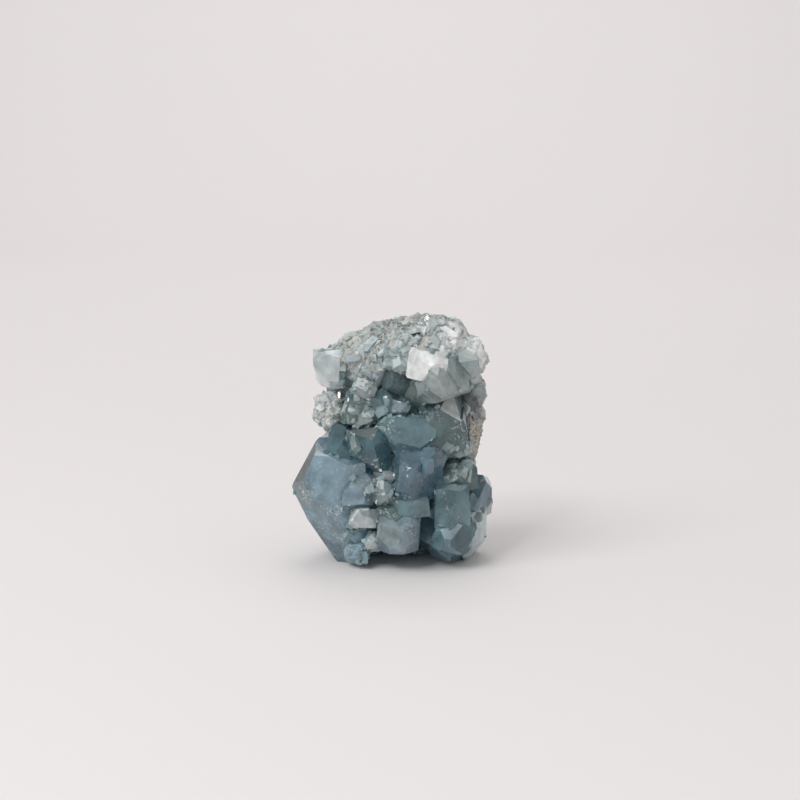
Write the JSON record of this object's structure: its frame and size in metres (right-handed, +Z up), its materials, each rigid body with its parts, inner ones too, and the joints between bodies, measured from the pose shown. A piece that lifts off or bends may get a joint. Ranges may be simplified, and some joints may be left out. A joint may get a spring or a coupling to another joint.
{
  "type": "rough celestite",
  "caption": "Rough celestite: blocky blue-grey crystals grown together over pale granular rock, standing upright on small flats of its own, for display.",
  "frame": {"origin": "on the surface the stone stands on, below the middle of its outline seen from above", "axes": "+Z up and along the stone's longest extent, +Y away from the side with the most crystals, +X to the right of that side"},
  "size_m": [0.048, 0.0388, 0.0593],
  "materials": {
    "celestite": "clear to cloudy blue-grey crystal faces, broken in places",
    "rock": "dull, granular whitish rock with brown specks"
  },
  "bodies": {
    "root": {"celestite_cluster": "celestite"}
  },
  "joints": []
}
